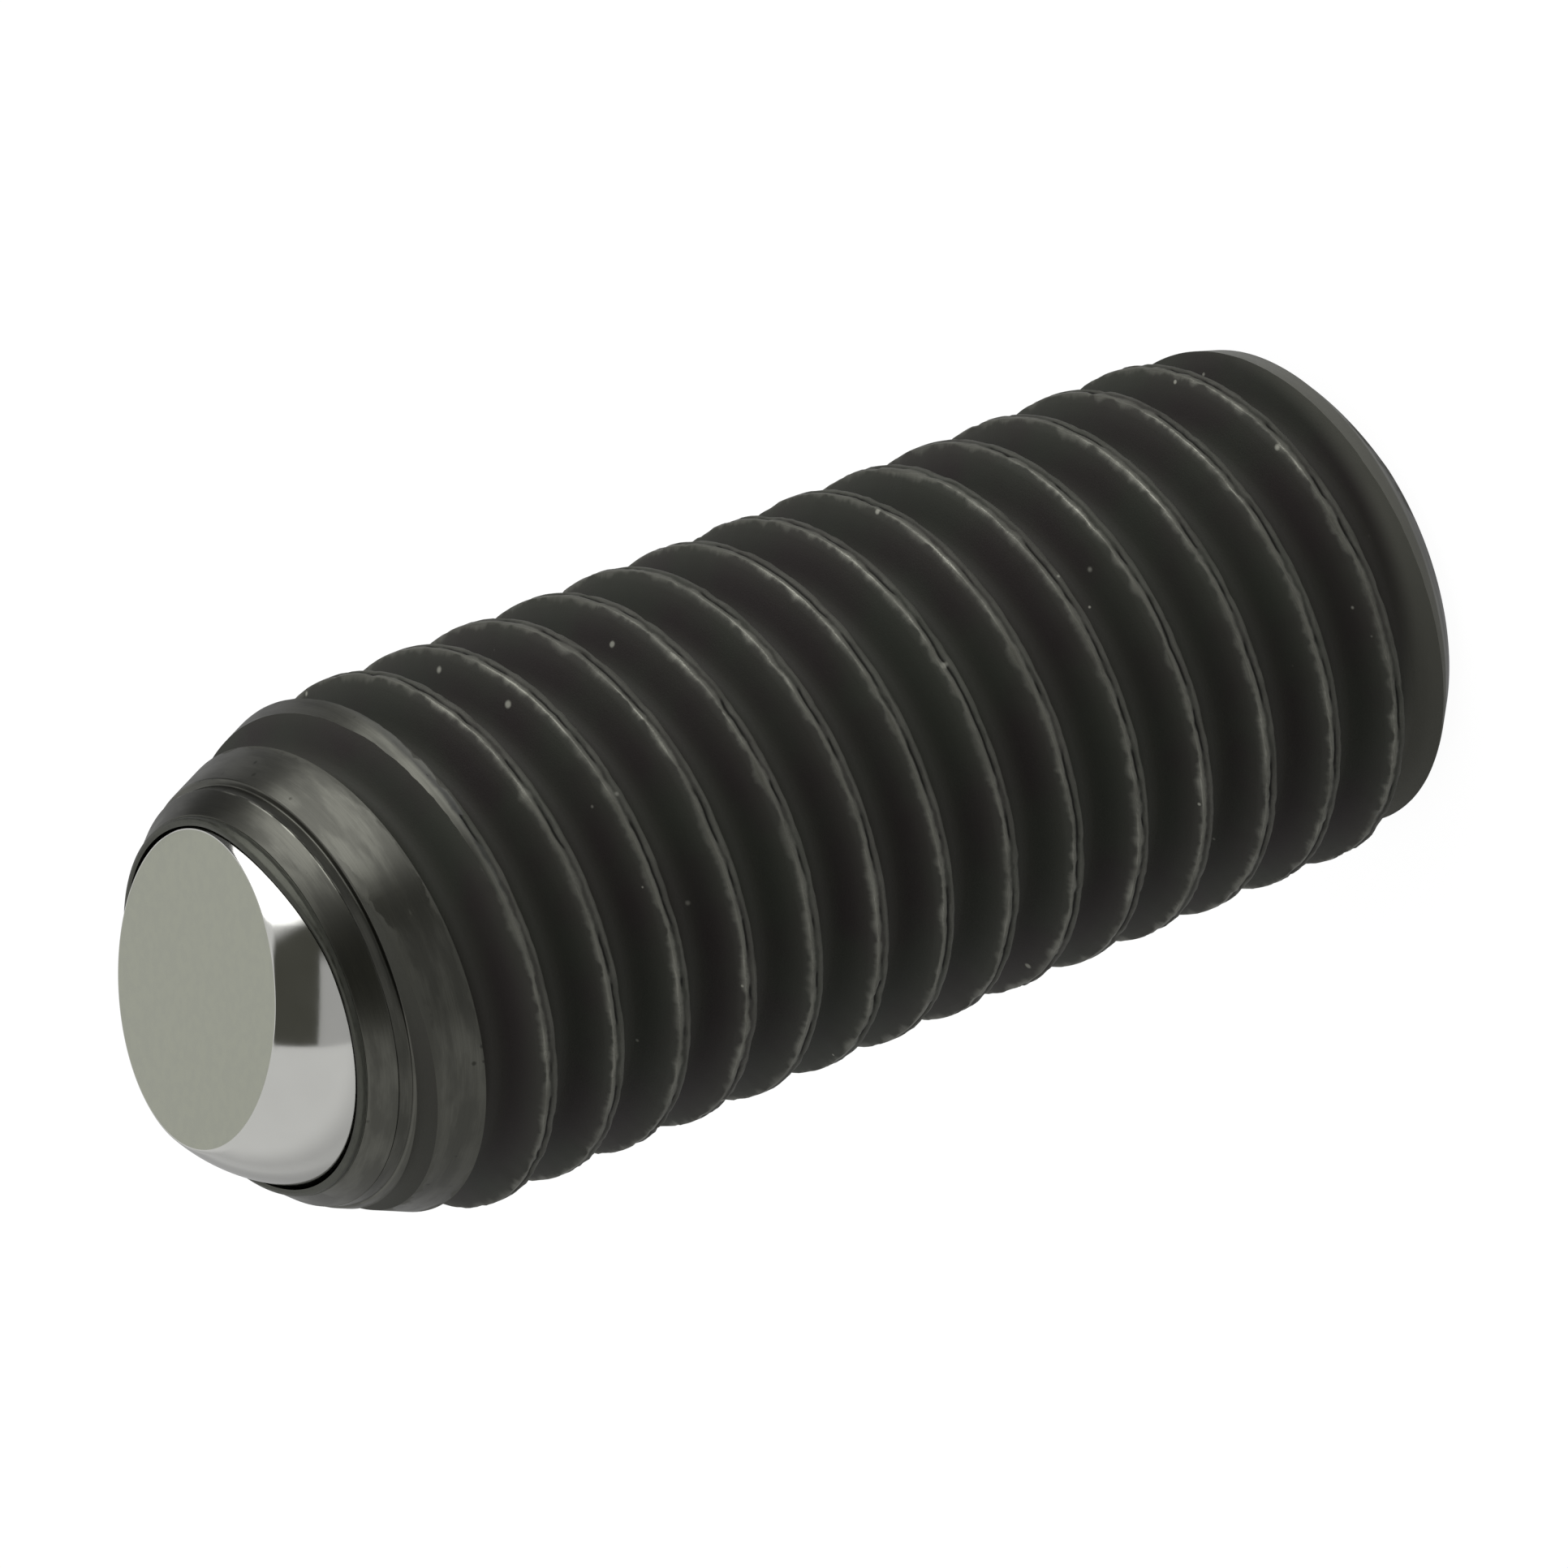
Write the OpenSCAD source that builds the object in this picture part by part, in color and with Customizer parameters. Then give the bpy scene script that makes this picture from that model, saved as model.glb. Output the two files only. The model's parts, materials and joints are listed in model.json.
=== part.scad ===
// Ball-ended thrust screw: a headless set screw with a flattened ball that swivels in its nose.
// It stands on its socket face at z = 0, with the screw's axis on Z and the ball uppermost.

/* [Thread] */
// Diameter over the crests of the thread
thread_d = 9.85; // [9.4:0.05:12]
// Distance along the axis from one turn to the next
pitch = 1.5; // [1.25:0.05:1.75]
// Depth of the groove from crest to root
thread_depth = 0.885; // [0.6:0.005:0.95]
// Width of the flat on top of each crest
crest_w = 0.2; // [0.1:0.01:0.3]
// Angle of each flank from a plane square to the axis
flank_angle = 30; // [25:1:32]
// Height of a crest's middle above the socket face, on the +X side
crest_z = 0.855; // [0:0.005:1.5]
// Flats that stand for one turn of the thread
turn_steps = 48; // [24:4:56]

/* [Body] */
// Length from the socket face to the tip of the rolled rim
body_l = 24.53; // [16:0.01:28]
// Diameter of the flat socket face
end_face_d = 8.3; // [7.8:0.05:8.6]
// Height of the steep chamfer at the socket end
end_chamfer_h = 0.5; // [0.2:0.05:0.8]
// Diameter where the steep chamfer meets the gentle lead-in
end_edge_d = 9.32; // [9:0.02:9.4]
// Height above the socket face at which the crests reach full diameter
end_lead_h = 1.5; // [1:0.1:3]

/* [Nose] */
// Angle of the machined bevel from the screw's axis
bevel_angle = 21.5; // [15:0.5:30]
// Height of relief, collar and rim together, above the bevel
nose_h = 0.8; // [0.7:0.01:1]
// Height of the turned relief between bevel and collar
relief_h = 0.23; // [0.1:0.01:0.3]
// Depth of that relief below the collar's foot
relief_depth = 0.05; // [0.02:0.01:0.1]
// Wall of the collar outside the ball seat, at the collar's foot
collar_wall = 0.25; // [0.2:0.01:0.35]
// Step from the collar's foot out to the bevel
bevel_step = 0.11; // [0.05:0.01:0.2]
// Width and height of the edge break that rolling leaves round the rim
rim_break = 0.13; // [0.08:0.01:0.15]
// Width of the flat land at the rim's tip
rim_land = 0.06; // [0.03:0.01:0.1]

/* [Ball] */
// Diameter of the ball
ball_d = 7.3; // [6.8:0.05:7.5]
// Diameter of the flat ground on the ball
flat_d = 5.78; // [5:0.02:6]
// Distance of the ball's centre below the rim's tip
ball_depth = 1.43; // [1.25:0.01:1.6]
// Running clearance between ball and seat, on the radius
ball_clearance = 0.04; // [0.02:0.01:0.08]
// Tilt of the flat away from square, towards +X
ball_tilt = 15.7; // [0:0.1:16]

/* [Socket] */
// Width across the flats of the hexagon socket
hex_af = 5; // [4:0.1:5.5]
// Depth of the socket's straight flats
hex_depth = 5; // [3:0.1:8]
// Angle of the drill point below the flats, tip to tip
drill_angle = 118; // [90:1:135]
// How far the mouth's countersink stands outside the hexagon's corners
mouth_margin = 0.1; // [0.05:0.01:0.2]
// Full angle of the mouth's countersink
mouth_angle = 90; // [60:5:120]

/* [Hidden] */
$fn = 96;

// Thread radii, and the axial share of each flank and of the flat root
crest_r = thread_d / 2;
root_r = crest_r - thread_depth;
flank_w = thread_depth * tan(flank_angle);
root_w = pitch - crest_w - 2 * flank_w;
// Radius of the blank outside the crests, which the end cones trim
blank_r = crest_r + thread_depth / 4;

// Ball, seat and rim
ball_r = ball_d / 2;
seat_r = ball_r + ball_clearance;
ball_z = body_l - ball_depth;
flat_rise = sqrt(pow(ball_r, 2) - pow(flat_d / 2, 2));
rim_in_r = sqrt(pow(seat_r, 2) - pow(ball_depth, 2));
rim_out_r = rim_in_r + rim_land;
collar_r = seat_r + collar_wall;
bevel_r = collar_r + bevel_step;
bevel_z = body_l - nose_h;
relief_z = bevel_z + relief_h;

// Height at which each end cone leaves the blank
bevel_foot_z = bevel_z - (blank_r - bevel_r) / tan(bevel_angle);
lead_slope = (end_lead_h - end_chamfer_h) / (crest_r - end_edge_d / 2);
lead_z = end_chamfer_h + (blank_r - end_edge_d / 2) * lead_slope;

// Hexagon socket
hex_corner_r = hex_af / 2 / cos(30);
mouth_r = hex_corner_r + mouth_margin;
mouth_h = mouth_r / tan(mouth_angle / 2);
drill_h = hex_af / 2 / tan(drill_angle / 2);

// One turn of the thread's section: height above the groove's lower crest edge, and radius
section = [
    [0, crest_r],
    [flank_w, root_r],
    [flank_w + root_w, root_r],
    [2 * flank_w + root_w, crest_r]
];
strips = len(section);
first_crest_z = crest_z + crest_w / 2;
low_turns = ceil((first_crest_z + pitch) / pitch);
turns = low_turns + ceil((bevel_z - first_crest_z) / pitch) + 1;
columns = turns * turn_steps;

// Turned outline of the whole screw, from the socket face to the rolled rim
module turned_outline() {
    polygon([
        [0, 0],
        [end_face_d / 2, 0],
        [end_edge_d / 2, end_chamfer_h],
        [blank_r, lead_z],
        [blank_r, bevel_foot_z],
        [bevel_r, bevel_z],
        [collar_r - relief_depth, bevel_z],
        [collar_r - relief_depth, relief_z],
        [collar_r, relief_z],
        [rim_out_r + rim_break, body_l - rim_break],
        [rim_out_r, body_l],
        [0, body_l]
    ]);
}

// Point k of the thread's section, one step along the helix for each i
function helix_point(i, k) =
    let (angle = i * 360 / turn_steps)
    [
        section[k][1] * cos(angle),
        section[k][1] * sin(angle),
        first_crest_z + section[k][0] + (i / turn_steps - low_turns) * pitch
    ];

// Index of a point: the strip above the last one is the first strip of the next turn
function at(i, k) = k < strips ? i * strips + k : at(i + turn_steps, k - strips);

// A long threaded rod: helical strips, closed by a fan to the axis at each end
module threaded_rod() {
    last = columns + turn_steps;
    rod_points = [
        for (i = [0:last]) for (k = [0:strips - 1]) helix_point(i, k),
        [0, 0, helix_point(0, 0)[2] - pitch],
        [0, 0, helix_point(last, 0)[2] + pitch]
    ];
    low = len(rod_points) - 2;
    high = len(rod_points) - 1;
    walls = [
        for (i = [0:columns - 1]) for (k = [0:strips - 1])
            for (side = [0, 1])
                side == 0
                    ? [at(i, k), at(i, k + 1), at(i + 1, k)]
                    : [at(i + 1, k), at(i, k + 1), at(i + 1, k + 1)]
    ];
    low_fan = [for (i = [0:turn_steps - 1]) [low, at(i, 0), at(i + 1, 0)]];
    low_step = [for (k = [0:strips - 1]) [low, at(0, k + 1), at(0, k)]];
    high_fan = [
        for (i = [0:turn_steps - 1]) [high, at(columns + i + 1, 0), at(columns + i, 0)]
    ];
    high_step = [for (k = [0:strips - 1]) [high, at(columns, k), at(columns, k + 1)]];
    polyhedron(rod_points, concat(walls, low_fan, low_step, high_fan, high_step));
}

module ball_seat() {
    translate([0, 0, ball_z]) sphere(r = seat_r);
}

module hexagon_socket() {
    below = pitch / 2;
    translate([0, 0, -below]) cylinder(r = hex_corner_r, h = hex_depth + below, $fn = 6);
    translate([0, 0, hex_depth]) cylinder(r1 = hex_af / 2, r2 = 0, h = drill_h);
    cylinder(r1 = mouth_r, r2 = 0, h = mouth_h);
}

// The body: rolled thread, chamfered socket end, bevelled nose and a rim that holds the ball in
module screw_body() {
    color([0.2, 0.2, 0.18]) intersection() {
        difference() {
            rotate_extrude() turned_outline();
            ball_seat();
            hexagon_socket();
        }
        union() {
            threaded_rod();
            translate([0, 0, bevel_z]) cylinder(r = blank_r, h = body_l);
        }
    }
}

// The ball, with its ground flat leaning by ball_tilt
module swivel_ball() {
    color([0.72, 0.73, 0.7]) translate([0, 0, ball_z]) rotate([0, ball_tilt, 0]) difference() {
        sphere(r = ball_r);
        translate([0, 0, flat_rise]) cylinder(r = ball_d, h = ball_d);
    }
}

screw_body();
swivel_ball();
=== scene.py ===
"""Studio view of a ball-ended set screw: blackened rolled thread, turned nose, and a swivelling steel ball."""

import json
import math

import bmesh
import bpy
from mathutils import Matrix, Vector


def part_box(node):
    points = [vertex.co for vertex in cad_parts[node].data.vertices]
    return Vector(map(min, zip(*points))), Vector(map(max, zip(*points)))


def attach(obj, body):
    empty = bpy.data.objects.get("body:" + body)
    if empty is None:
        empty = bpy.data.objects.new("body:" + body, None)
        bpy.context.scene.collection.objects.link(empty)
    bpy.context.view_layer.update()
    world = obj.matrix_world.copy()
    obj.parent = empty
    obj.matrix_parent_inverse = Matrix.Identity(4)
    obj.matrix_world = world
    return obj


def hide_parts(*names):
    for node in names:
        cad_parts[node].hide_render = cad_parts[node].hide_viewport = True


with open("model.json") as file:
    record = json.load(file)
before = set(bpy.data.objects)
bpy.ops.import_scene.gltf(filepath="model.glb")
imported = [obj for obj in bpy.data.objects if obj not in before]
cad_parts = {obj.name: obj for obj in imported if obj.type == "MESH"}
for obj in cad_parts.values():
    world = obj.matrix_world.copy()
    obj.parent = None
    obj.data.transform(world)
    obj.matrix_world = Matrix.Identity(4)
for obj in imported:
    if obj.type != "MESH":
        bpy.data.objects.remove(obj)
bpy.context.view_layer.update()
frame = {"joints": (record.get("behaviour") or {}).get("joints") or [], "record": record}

MM = 0.001

# Sizes that the frame gives
BODY_LOW, BODY_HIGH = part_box("screw_body")
BALL_LOW, BALL_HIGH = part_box("swivel_ball")
MOUNTS = {mount["name"]: mount for mount in frame["record"]["mounts"]}
BALL_CENTRE = Vector(frame["joints"][0]["pos_m"])
FLAT_CENTRE = Vector(MOUNTS["ball_flat"]["pos_m"])
BODY_LENGTH = BODY_HIGH.z
CREST_RADIUS = BODY_HIGH.x
BALL_RADIUS = BALL_CENTRE.z - BALL_LOW.z
FLAT_RISE = (FLAT_CENTRE - BALL_CENTRE).length

# Thread
PITCH = 1.5 * MM
THREAD_DEPTH = 0.885 * MM
CREST_WIDTH = 0.2 * MM
CREST_HEIGHT = 0.855 * MM
FLANK_ANGLE = math.radians(30)
SEAM_WANDER = 0.1 * MM
STEPS_PER_TURN = 200
ROWS_PER_PITCH = 22

# Socket end
END_FACE_RADIUS = 4.15 * MM
END_EDGE_RADIUS = 4.66 * MM
END_CHAMFER = 0.5 * MM
END_LEAD = 1.5 * MM
HEX_FLATS = 5 * MM
HEX_DEPTH = 5 * MM
DRILL_HALF_ANGLE = math.radians(59)
MOUTH_MARGIN = 0.1 * MM

# Nose
SEAT_CLEARANCE = 0.04 * MM
SEAT_RADIUS = BALL_RADIUS + SEAT_CLEARANCE
NOSE_HEIGHT = 0.8 * MM
RELIEF_HEIGHT = 0.23 * MM
RELIEF_DEPTH = 0.025 * MM
COLLAR_RADIUS = SEAT_RADIUS + 0.25 * MM
BEVEL_RADIUS = COLLAR_RADIUS + 0.11 * MM
BEVEL_ANGLE = math.radians(21.5)
BEVEL_HEIGHT = BODY_LENGTH - NOSE_HEIGHT
RIM_BREAK = 0.13 * MM
RIM_LAND = 0.06 * MM
LIP_STEP = 0.025 * MM
RIM_OPENING = 0.03 * MM
BALL_DEPTH = BODY_LENGTH - BALL_CENTRE.z
BLANK_RADIUS = CREST_RADIUS + THREAD_DEPTH / 4

# Camera: where it looks, from which side, and how it is rolled
CAMERA_TARGET = Vector((0.118, 0, 12.18)) * MM
CAMERA_DISTANCE = 374.99 * MM
CAMERA_ELEVATION = math.radians(31.976)
CAMERA_ROLL = math.radians(-111.797)
FOCAL_PIXELS = 25459
PHOTO_PIXELS = 1932
SENSOR_WIDTH = 36


def colour(red, green, blue):
    """A colour given as it shows on screen, 0 to 255, as Blender's linear colour."""
    def linear(value):
        share = value / 255
        if share <= 0.04045:
            return share / 12.92
        return ((share + 0.055) / 1.055) ** 2.4
    return (linear(red), linear(green), linear(blue), 1)


class Wiring:
    """Adds nodes to one tree, and sets or links their inputs as it goes."""

    def __init__(self, tree):
        self.tree = tree

    def feed(self, socket, value):
        if isinstance(value, bpy.types.NodeSocket):
            self.tree.links.new(value, socket)
        else:
            socket.default_value = value

    def add(self, kind, inputs=None, **settings):
        node = self.tree.nodes.new(kind)
        for name, value in settings.items():
            setattr(node, name, value)
        for key, value in (inputs or {}).items():
            self.feed(node.inputs[key], value)
        return node

    def math(self, operation, *values):
        node = self.add("ShaderNodeMath", operation=operation)
        for socket, value in zip(node.inputs, values):
            self.feed(socket, value)
        return node.outputs["Value"]

    def step(self, value, low, high, start=0.0, end=1.0):
        """Goes smoothly from start to end while value goes from low to high."""
        inputs = {0: value, 1: low, 2: high, 3: start, 4: end}
        node = self.add("ShaderNodeMapRange", inputs, interpolation_type="SMOOTHSTEP")
        return node.outputs["Result"]

    def split(self, vector):
        outputs = self.add("ShaderNodeSeparateXYZ", {"Vector": vector}).outputs
        return outputs["X"], outputs["Y"], outputs["Z"]

    def join(self, x, y, z):
        return self.add("ShaderNodeCombineXYZ", {"X": x, "Y": y, "Z": z}).outputs["Vector"]

    def noise(self, vector, size, detail=2.0, seed=0.0):
        """Noise from 0 to 1 whose features are about size across. The seed moves it elsewhere in the noise."""
        inputs = {0: (5.3 * MM, 7.1 * MM, 9.7 * MM), "Scale": seed}
        shift = self.add("ShaderNodeVectorMath", inputs, operation="SCALE").outputs["Vector"]
        moved = self.add("ShaderNodeVectorMath", {0: vector, 1: shift}, operation="ADD").outputs["Vector"]
        node = self.add("ShaderNodeTexNoise", {"Vector": moved, "Scale": 1 / size, "Detail": detail})
        return node.outputs[0]

    def mix(self, share, low, high):
        """A colour between low and high."""
        node = self.add("ShaderNodeMix", {0: share, 6: low, 7: high}, data_type="RGBA")
        return node.outputs[2]


def seam_place(wire, line, reach):
    """How far the seam strays from the middle of the crest. The rod and its finish share this."""
    stray = wire.noise(line, 1.1 * MM, 4.0, 71.0)
    return wire.math("MULTIPLY", wire.math("SUBTRACT", stray, 0.5), reach)


def seam_opening(wire, line):
    """Where along the crest the seam stays open, from 0 to 1."""
    return wire.step(wire.noise(line, 0.9 * MM, 3.0, 73.0), 0.46, 0.56)


def burrs(wire, line):
    """Scattered stretches where the crest bulges, from 0 to 1."""
    return wire.step(wire.noise(line, 0.9 * MM, 2.0, 75.0), 0.6, 0.72)


def new_tree(name, kind, inputs, outputs):
    """A node group with named inputs, given as name: (socket type, value), and named outputs."""
    tree = bpy.data.node_groups.new(name, kind)
    for label, (socket_type, value) in inputs.items():
        socket = tree.interface.new_socket(label, in_out="INPUT", socket_type=socket_type)
        if value is not None:
            socket.default_value = value
    for label, socket_type in outputs.items():
        tree.interface.new_socket(label, in_out="OUTPUT", socket_type=socket_type)
    wiring = Wiring(tree)
    entry = tree.nodes.new("NodeGroupInput").outputs
    leave = tree.nodes.new("NodeGroupOutput").inputs
    return wiring, entry, leave


def threaded_rod_tree(finish):
    """Geometry nodes for a closed rod with a rolled thread, longer than the screw at both ends."""
    length = "NodeSocketFloat"
    whole = "NodeSocketInt"
    inputs = {
        "Steps per Turn": (whole, STEPS_PER_TURN),
        "Rows per Pitch": (whole, ROWS_PER_PITCH),
        "Pitch": (length, PITCH),
        "Crest Radius": (length, CREST_RADIUS),
        "Thread Depth": (length, THREAD_DEPTH),
        "Crest Width": (length, CREST_WIDTH),
        "Flank Angle": (length, FLANK_ANGLE),
        "Crest Height": (length, CREST_HEIGHT),
        "Low End": (length, 0.0),
        "High End": (length, BODY_LENGTH),
        "Crest Rounding": (length, 0.0),
        "Crest Swell": (length, 0.0),
        "Seam Depth": (length, 0.0),
        "Seam Width": (length, 0.0),
        "Seam Wander": (length, 0.0),
        "Crest Raggedness": (length, 0.0),
        "Burr Size": (length, 0.0),
        "Chip Depth": (length, 0.0),
        "Row Crowding": (length, 0.5),
        "Seed": (length, 0.0),
    }
    wire, size, leave = new_tree(
        "threaded_rod", "GeometryNodeTree", inputs, {"Geometry": "NodeSocketGeometry"}
    )
    math_ = wire.math
    pitch = size["Pitch"]
    low, high = size["Low End"], size["High End"]

    # Whole turns below and above the crest that Crest Height names
    below = math_("ADD", math_("CEIL", math_("DIVIDE", math_("SUBTRACT", size["Crest Height"], low), pitch)), 1)
    above = math_("ADD", math_("CEIL", math_("DIVIDE", math_("SUBTRACT", high, size["Crest Height"]), pitch)), 2)
    turns = math_("ADD", below, above)
    rows = math_("MULTIPLY", turns, size["Rows per Pitch"])
    grid = wire.add("GeometryNodeMeshGrid", {
        "Size X": 1.0,
        "Size Y": 1.0,
        "Vertices X": math_("ADD", size["Steps per Turn"], 1),
        "Vertices Y": math_("ADD", rows, 1),
    })

    # Across the grid goes one turn, and up the grid go the rows of all turns
    across, up, _ = wire.split(wire.add("GeometryNodeInputPosition").outputs["Position"])
    turned = math_("ADD", across, 0.5)
    angle = math_("MULTIPLY", turned, math.tau)
    level = math_("MULTIPLY", math_("ADD", up, 0.5), turns)
    turn = math_("FLOOR", level)
    place = math_("MULTIPLY_ADD", math_("SUBTRACT", level, turn), 2, -1)

    # Rows crowd together at the crest, where the seam is, and at the root
    crowding = size["Row Crowding"]
    wave = math_("DIVIDE", math_("SINE", math_("MULTIPLY", place, math.tau)), math.tau)
    spread = math_("SUBTRACT", place, math_("MULTIPLY", wave, crowding))
    half_pitch = math_("MULTIPLY", pitch, 0.5)
    offset = math_("MULTIPLY", spread, half_pitch)
    first_crest = math_("SUBTRACT", size["Crest Height"], math_("MULTIPLY", below, pitch))
    crest = math_("ADD", first_crest, math_("MULTIPLY", math_("ADD", turn, turned), pitch))
    height = math_("ADD", crest, offset)

    # Noise along the crest moves its edges and the seam
    cosine, sine = math_("COSINE", angle), math_("SINE", angle)
    crest_radius = size["Crest Radius"]
    crest_x, crest_y = math_("MULTIPLY", crest_radius, cosine), math_("MULTIPLY", crest_radius, sine)
    along = wire.join(crest_x, crest_y, crest)
    beside = wire.join(crest_x, crest_y, height)
    seed = size["Seed"]
    ragged = math_("SUBTRACT", wire.noise(beside, 0.35 * MM, 3.0, seed), 0.5)
    chipped = wire.step(wire.noise(beside, 0.5 * MM, 3.0, math_("ADD", seed, 5)), 0.52, 0.7)
    bulge = burrs(wire, along)
    opened = seam_opening(wire, along)

    # Drop of the section below the crest radius: straight flanks, and an arc at the root
    flank = size["Flank Angle"]
    half_crest = math_("MULTIPLY", size["Crest Width"], 0.5)
    vee = math_("DIVIDE", math_("SUBTRACT", half_pitch, half_crest), math_("TANGENT", flank))
    sharpness = math_("DIVIDE", 1, math_("SINE", flank))
    root = math_("DIVIDE", math_("SUBTRACT", vee, size["Thread Depth"]), math_("SUBTRACT", sharpness, 1))
    beyond = math_("ABSOLUTE", offset)
    from_root = math_("SUBTRACT", half_pitch, beyond)
    square = math_("SUBTRACT", math_("MULTIPLY", root, root), math_("MULTIPLY", from_root, from_root))
    centre = math_("SUBTRACT", vee, math_("MULTIPLY", root, sharpness))
    bowl = math_("ADD", centre, math_("SQRT", math_("MAXIMUM", square, 0)))
    in_root = math_("LESS_THAN", from_root, math_("MULTIPLY", root, math_("COSINE", flank)))
    near_crest = wire.step(beyond, math_("MULTIPLY", half_crest, 3), half_crest)
    burr = math_("MULTIPLY_ADD", bulge, size["Burr Size"], size["Crest Swell"])
    swell = math_("MULTIPLY_ADD", ragged, size["Crest Raggedness"], burr)
    edge = math_("MULTIPLY_ADD", swell, near_crest, half_crest)
    slope = math_("DIVIDE", math_("SUBTRACT", beyond, edge), math_("TANGENT", flank))
    rooted = math_("MULTIPLY_ADD", math_("SUBTRACT", bowl, slope), in_root, slope)
    crest_marks = math_("MULTIPLY", chipped, size["Chip Depth"])
    drop = math_("SMOOTH_MAX", rooted, crest_marks, size["Crest Rounding"])
    from_seam = math_("ABSOLUTE", math_("SUBTRACT", offset, seam_place(wire, along, size["Seam Wander"])))
    share = math_("MAXIMUM", math_("SUBTRACT", 1, math_("DIVIDE", from_seam, size["Seam Width"])), 0)
    seam = math_("MULTIPLY", math_("MULTIPLY", share, opened), size["Seam Depth"])
    radius = math_("MINIMUM", math_("SUBTRACT", math_("SUBTRACT", crest_radius, drop), seam), crest_radius)

    # Past each end the rows fold flat on one circle, which a disc closes
    outside = math_("MAXIMUM", math_("LESS_THAN", height, low), math_("GREATER_THAN", height, high))
    closing = math_("MULTIPLY", math_("SUBTRACT", crest_radius, radius), outside)
    radius = math_("ADD", radius, closing)
    height = math_("MAXIMUM", math_("MINIMUM", height, high), low)
    wall = wire.add("GeometryNodeSetPosition", {
        "Geometry": grid.outputs["Mesh"],
        "Position": wire.join(math_("MULTIPLY", radius, cosine), math_("MULTIPLY", radius, sine), height),
    })
    disc = wire.add(
        "GeometryNodeMeshCircle",
        {"Vertices": size["Steps per Turn"], "Radius": crest_radius},
        fill_type="NGON",
    )
    joined = wire.add("GeometryNodeJoinGeometry")
    wire.feed(joined.inputs["Geometry"], wall.outputs["Geometry"])
    for end, flipped in ((high, False), (low, True)):
        cap = disc.outputs["Mesh"]
        if flipped:
            cap = wire.add("GeometryNodeFlipFaces", {"Mesh": cap}).outputs["Mesh"]
        placed = wire.add("GeometryNodeTransform", {"Geometry": cap, "Translation": wire.join(0.0, 0.0, end)})
        wire.feed(joined.inputs["Geometry"], placed.outputs["Geometry"])
    welded = wire.add("GeometryNodeMergeByDistance", {"Geometry": joined.outputs["Geometry"], "Distance": 0.001 * MM})
    real = wire.add("GeometryNodeRealizeInstances", {"Geometry": welded.outputs["Geometry"]})
    finished = wire.add("GeometryNodeSetMaterial", {"Geometry": real.outputs["Geometry"], "Material": finish})
    wire.feed(leave["Geometry"], finished.outputs["Geometry"])
    return wire.tree


def new_object(name, mesh):
    obj = bpy.data.objects.new(name, mesh)
    bpy.context.scene.collection.objects.link(obj)
    return obj


def settle(obj):
    """Makes what the modifiers give the object's own mesh, and removes them."""
    graph = bpy.context.evaluated_depsgraph_get()
    mesh = bpy.data.meshes.new_from_object(obj.evaluated_get(graph))
    obj.modifiers.clear()
    obj.data = mesh


def coat(obj, finishes, chosen):
    """Gives an object the finishes as its slots, and all its faces the chosen one."""
    obj.data.materials.clear()
    for finish in finishes:
        obj.data.materials.append(finish)
    for face in obj.data.polygons:
        face.material_index = finishes.index(chosen)


def combine(obj, tool, operation):
    """Cuts or trims obj with a closed tool object, which is then gone. Both have the same slots."""
    modifier = obj.modifiers.new("combine", "BOOLEAN")
    modifier.operation = operation
    modifier.object = tool
    modifier.solver = "MANIFOLD"
    settle(obj)
    bpy.data.objects.remove(tool)


def rounded(corners):
    """An outline of (radius, height, rounding) corners as (radius, height) points, with arcs at the corners."""
    points = []
    for index, (x, z, rounding) in enumerate(corners):
        here = Vector((x, z))
        if not rounding:
            points.append(here)
            continue
        before = Vector(corners[index - 1][:2]) - here
        after = Vector(corners[index + 1][:2]) - here
        half_turn = (math.pi - before.angle(after)) / 2
        reach = rounding * math.tan(half_turn)
        start = here + before.normalized() * reach
        end = here + after.normalized() * reach
        centre = here + (before.normalized() + after.normalized()).normalized() * rounding / math.cos(half_turn)
        start_angle = math.atan2(*reversed(start - centre))
        end_angle = math.atan2(*reversed(end - centre))
        sweep = (end_angle - start_angle + math.pi) % math.tau - math.pi
        steps = max(2, math.ceil(abs(sweep) / math.radians(18)))
        for step in range(steps + 1):
            angle = start_angle + sweep * step / steps
            points.append(centre + Vector((math.cos(angle), math.sin(angle))) * rounding)
    return points


def turned_object(name, outline, segments, finishes, chosen):
    """Spins an outline, from its lower pole to its upper one, into a closed object with the chosen finish."""
    mesh = bpy.data.meshes.new(name)
    shape = bmesh.new()
    low = shape.verts.new((0, 0, outline[0][1]))
    high = shape.verts.new((0, 0, outline[-1][1]))
    rings = []
    for radius, height in outline[1:-1]:
        ring = []
        for step in range(segments):
            angle = math.tau * step / segments
            ring.append(shape.verts.new((radius * math.cos(angle), radius * math.sin(angle), height)))
        rings.append(ring)
    for step in range(segments):
        after = (step + 1) % segments
        shape.faces.new((low, rings[0][after], rings[0][step]))
        shape.faces.new((high, rings[-1][step], rings[-1][after]))
        for lower, upper in zip(rings, rings[1:]):
            shape.faces.new((lower[step], lower[after], upper[after], upper[step]))
    shape.to_mesh(mesh)
    shape.free()
    obj = new_object(name, mesh)
    coat(obj, finishes, chosen)
    return obj


def smooth(obj, sharp_angle, soft=()):
    """Smooth shading, with sharp edges at steep corners and where one finish meets another. Soft finishes have none."""
    obj.data.shade_smooth()
    obj.data.set_sharp_from_angle(angle=math.radians(sharp_angle))
    soft_indices = {obj.data.materials.find(finish.name) for finish in soft}
    shape = bmesh.new()
    shape.from_mesh(obj.data)
    for edge in shape.edges:
        finishes = {face.material_index for face in edge.link_faces}
        if len(finishes) > 1:
            edge.smooth = False
        elif finishes <= soft_indices:
            edge.smooth = True
    shape.to_mesh(obj.data)
    shape.free()


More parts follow.
